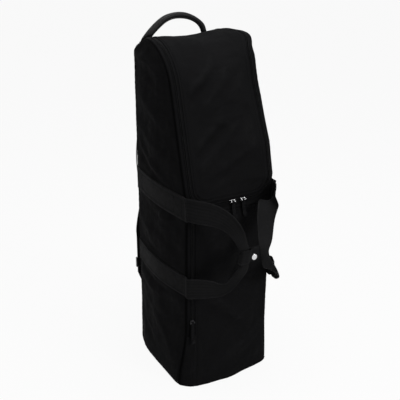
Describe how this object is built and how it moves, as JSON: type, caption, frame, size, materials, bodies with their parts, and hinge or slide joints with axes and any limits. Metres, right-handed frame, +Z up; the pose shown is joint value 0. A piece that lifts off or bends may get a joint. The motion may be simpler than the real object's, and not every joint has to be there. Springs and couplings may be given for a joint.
{
  "type": "soft carry bag",
  "caption": "Tall standing soft carry bag with a zipped crown lid, flat front pocket, top handle, snap-wrapped side handles and shoulder straps.",
  "frame": {"origin": "middle of the base, on the floor", "axes": "+X right across the front, +Y to the back panel, +Z up"},
  "size_m": [0.26, 0.4533, 0.937],
  "materials": {
    "shell_cloth": "plain-woven black nylon cloth with a slight sheen",
    "zip_cloth": "black woven zip tape and pull tabs",
    "webbing": "black woven band",
    "handle_leather": "black grained leather-look cover, slightly glossy",
    "zip_plastic": "black moulded zip coil",
    "hard_plastic": "black moulded plastic",
    "bright_metal": "polished nickel plate"
  },
  "bodies": {
    "bag": {"bottom_panel": "shell_cloth", "base_board": "hard_plastic", "left_side_panel": "shell_cloth", "right_side_panel": "shell_cloth", "back_panel": "shell_cloth", "back_board": "hard_plastic", "top_yoke": "shell_cloth", "front_yoke": "shell_cloth", "front_wall": "shell_cloth", "pocket_panel": "shell_cloth", "pocket_gusset": "shell_cloth", "pocket_zip_tapes": "zip_cloth", "pocket_zip_coil": "zip_plastic", "lid_zip_outer_tape": "zip_cloth", "lid_zip_outer_coil": "zip_plastic", "lid_seam_roll": "zip_cloth", "left_upper_band": "webbing", "left_lower_band": "webbing", "right_upper_band": "webbing", "right_lower_band": "webbing", "top_handle_feet": "handle_leather", "strap_top_anchors": "webbing", "strap_low_anchors": "webbing"},
    "lid": {"lid_panel": "shell_cloth", "lid_zip_inner_tape": "zip_cloth", "lid_zip_inner_coil": "zip_plastic"},
    "left_lid_slider": {"left_lid_slider": "bright_metal"},
    "right_lid_slider": {"right_lid_slider": "bright_metal"},
    "left_lid_pull": {"left_lid_pull": "zip_cloth"},
    "right_lid_pull": {"right_lid_pull": "zip_cloth"},
    "pocket_slider": {"pocket_slider": "bright_metal"},
    "pocket_pull": {"pocket_pull": "zip_cloth"},
    "left_side_handle": {"left_side_handle": "webbing"},
    "right_side_handle": {"right_side_handle": "webbing", "wrap_base": "webbing", "snap_stud": "bright_metal"},
    "wrap_flap": {"wrap_flap": "webbing", "snap_cap": "bright_metal"},
    "top_handle": {"top_handle_grip": "handle_leather"},
    "left_strap": {"left_strap_pad": "shell_cloth", "left_strap_webbing": "webbing"},
    "right_strap": {"right_strap_pad": "shell_cloth", "right_strap_webbing": "webbing"},
    "left_strap_adjuster": {"left_strap_adjuster": "hard_plastic"},
    "right_strap_adjuster": {"right_strap_adjuster": "hard_plastic"}
  },
  "joints": [
    {"name": "lid_hinge", "type": "hinge", "parent": "bag", "child": "lid", "pos_m": [0, 0.11, 0.88569], "axis": [-1, 0, 0], "range_deg": [0, 100]},
    {"name": "left_lid_slider_slide", "type": "slide", "parent": "bag", "child": "left_lid_slider", "axis": [-1, 0, 0], "range_m": [-0.008, 0.063]},
    {"name": "right_lid_slider_slide", "type": "slide", "parent": "bag", "child": "right_lid_slider", "axis": [1, 0, 0], "range_m": [-0.008, 0.023]},
    {"name": "left_lid_pull_hinge", "type": "hinge", "parent": "left_lid_slider", "child": "left_lid_pull", "pos_m": [0.005, -0.1527, 0.513], "axis": [-1, 0, 0], "range_deg": [0, 150]},
    {"name": "right_lid_pull_hinge", "type": "hinge", "parent": "right_lid_slider", "child": "right_lid_pull", "pos_m": [0.035, -0.1527, 0.513], "axis": [-1, 0, 0], "range_deg": [0, 150]},
    {"name": "pocket_slider_slide", "type": "slide", "parent": "bag", "child": "pocket_slider", "axis": [0, -0.0195, 0.9998], "range_m": [-0.034, 0.284]},
    {"name": "pocket_pull_hinge", "type": "hinge", "parent": "pocket_slider", "child": "pocket_pull", "pos_m": [-0.109, -0.14643, 0.19189], "axis": [-1, 0, 0], "range_deg": [0, 150]},
    {"name": "left_side_handle_hinge", "type": "hinge", "parent": "bag", "child": "left_side_handle", "pos_m": [-0.1275, -0.15, 0.408], "axis": [0, 0, -1], "range_deg": [0, 100]},
    {"name": "right_side_handle_hinge", "type": "hinge", "parent": "bag", "child": "right_side_handle", "pos_m": [0.1275, -0.15, 0.408], "axis": [0, 0, 1], "range_deg": [0, 100]},
    {"name": "wrap_flap_hinge", "type": "hinge", "parent": "right_side_handle", "child": "wrap_flap", "pos_m": [-0.0361, -0.244, 0.408], "axis": [0, 0, -1], "range_deg": [0, 120]},
    {"name": "top_handle_hinge", "type": "hinge", "parent": "bag", "child": "top_handle", "pos_m": [0, 0.1445, 0.86], "axis": [-1, 0, 0], "range_deg": [-30, 130]},
    {"name": "left_strap_hinge", "type": "hinge", "parent": "bag", "child": "left_strap", "pos_m": [-0.046, 0.1435, 0.766], "axis": [-0.1056, 0.006, -0.9944], "range_deg": [-20, 20]},
    {"name": "right_strap_hinge", "type": "hinge", "parent": "bag", "child": "right_strap", "pos_m": [0.046, 0.1435, 0.766], "axis": [0.1056, 0.006, -0.9944], "range_deg": [-20, 20]},
    {"name": "left_strap_adjuster_slide", "type": "slide", "parent": "left_strap", "child": "left_strap_adjuster", "axis": [0, 0, 1], "range_m": [-0.008, 0.06]},
    {"name": "right_strap_adjuster_slide", "type": "slide", "parent": "right_strap", "child": "right_strap_adjuster", "axis": [0, 0, 1], "range_m": [-0.008, 0.06]}
  ]
}
